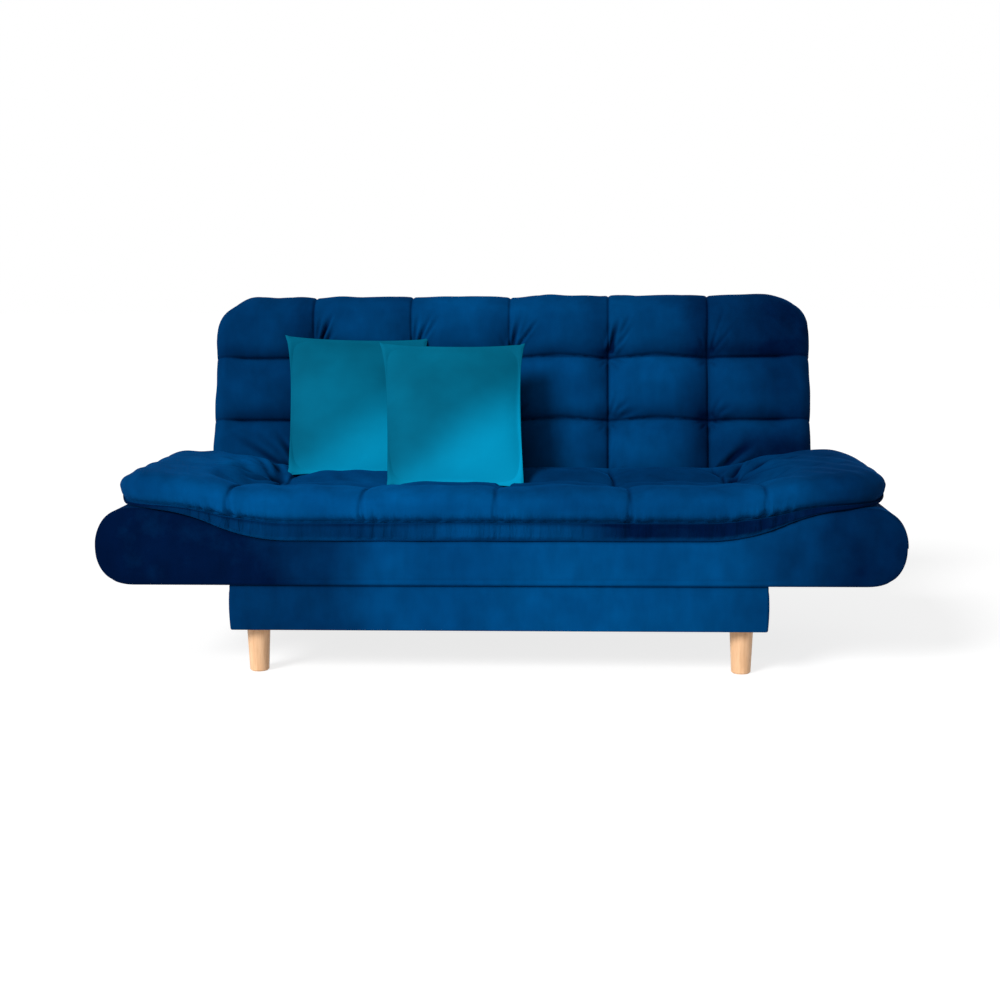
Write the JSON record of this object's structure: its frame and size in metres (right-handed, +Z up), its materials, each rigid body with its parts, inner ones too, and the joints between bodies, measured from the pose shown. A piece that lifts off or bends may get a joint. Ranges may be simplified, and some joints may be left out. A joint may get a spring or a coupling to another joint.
{
  "type": "sofa bed",
  "caption": "Armless folding sofa bed with a dished, tufted seat, a tufted back that folds flat on ratchet hinges, a plinth on peg legs and loose square pillows.",
  "frame": {"origin": "on the floor, under the middle of the whole sofa's box", "axes": "+X to the viewer's right along the sofa, +Y to the rear, +Z up; the sitter faces -Y"},
  "size_m": [1.896, 0.9176, 0.8706],
  "materials": {
    "blue_velvet": "matte",
    "pillow_cloth": "matte",
    "leg_wood": "satin",
    "frame_wood": "matte",
    "hardboard": "matte",
    "black_cloth": "matte",
    "hinge_steel": "satin",
    "bright_steel": "satin"
  },
  "bodies": {
    "plinth": {"bracket_bolts": "bright_steel", "hinge_lift_pin_left": "bright_steel", "hinge_lift_pin_right": "bright_steel", "hinge_plinth_bracket_left": "hinge_steel", "hinge_plinth_bracket_right": "hinge_steel", "leg_bolts": "bright_steel", "leg_front_left": "leg_wood", "leg_front_right": "leg_wood", "leg_rear_left": "leg_wood", "leg_rear_right": "leg_wood", "plinth_corner_blocks": "frame_wood", "plinth_cover": "blue_velvet", "plinth_dust_cloth": "black_cloth", "plinth_end_board_left": "frame_wood", "plinth_end_board_right": "frame_wood", "plinth_front_board": "frame_wood", "plinth_rear_board": "frame_wood"},
    "seat": {"heel_bolts": "bright_steel", "hinge_fold_pin_left": "bright_steel", "hinge_fold_pin_right": "bright_steel", "hinge_pawl_pin_left": "bright_steel", "hinge_pawl_pin_right": "bright_steel", "hinge_seat_heel_left": "hinge_steel", "hinge_seat_heel_right": "hinge_steel", "seat_cushion": "blue_velvet", "seat_front_board": "frame_wood", "seat_hardboard": "hardboard", "seat_joists": "frame_wood", "seat_padding": "blue_velvet", "seat_rear_board": "frame_wood"},
    "back": {"arm_bolts": "bright_steel", "back_cushion": "blue_velvet", "back_end_foot_rail_left": "frame_wood", "back_end_foot_rail_right": "frame_wood", "back_end_stile_left": "frame_wood", "back_end_stile_right": "frame_wood", "back_foot_rail": "frame_wood", "back_hinge_stile_left": "frame_wood", "back_hinge_stile_right": "frame_wood", "back_middle_stile": "frame_wood", "back_rear_panel": "black_cloth", "back_top_rail": "frame_wood", "back_webbing": "frame_wood", "hinge_back_arm_left": "hinge_steel", "hinge_back_arm_right": "hinge_steel"},
    "pawl_left": {"hinge_pawl_left": "hinge_steel"},
    "pawl_right": {"hinge_pawl_right": "hinge_steel"},
    "pillow_left": {"pillow_left": "pillow_cloth"},
    "pillow_right": {"pillow_right": "pillow_cloth"}
  },
  "joints": [
    {"name": "seat_lift", "type": "hinge", "parent": "plinth", "child": "seat", "pos_m": [0, 0.17025, 0.225], "axis": [-1, 0, 0], "range_deg": [0, 25]},
    {"name": "back_fold", "type": "hinge", "parent": "seat", "child": "back", "pos_m": [0, 0.24425, 0.3556], "axis": [-1, 0, 0], "range_deg": [0, 74]},
    {"name": "pillow_left_off", "type": "slide", "parent": "seat", "child": "pillow_left", "axis": [0, 0.2756, 0.9613], "range_m": [0, 0.15]},
    {"name": "pillow_right_off", "type": "slide", "parent": "seat", "child": "pillow_right", "axis": [0, 0.2756, 0.9613], "range_m": [0, 0.15]},
    {"name": "pawl_left_click", "type": "hinge", "parent": "seat", "child": "pawl_left", "pos_m": [0, 0.18189, 0.3196], "axis": [1, 0, 0], "range_deg": [0, 10], "stiffness_Nm_per_rad": 0.02, "springref_deg": -11.46},
    {"name": "pawl_right_click", "type": "hinge", "parent": "seat", "child": "pawl_right", "pos_m": [0, 0.18189, 0.3196], "axis": [1, 0, 0], "range_deg": [0, 10], "stiffness_Nm_per_rad": 0.02, "springref_deg": -11.46}
  ],
  "couplings": [
    {"joint": "pawl_right_click", "follows": "pawl_left_click", "ratio": 1}
  ]
}
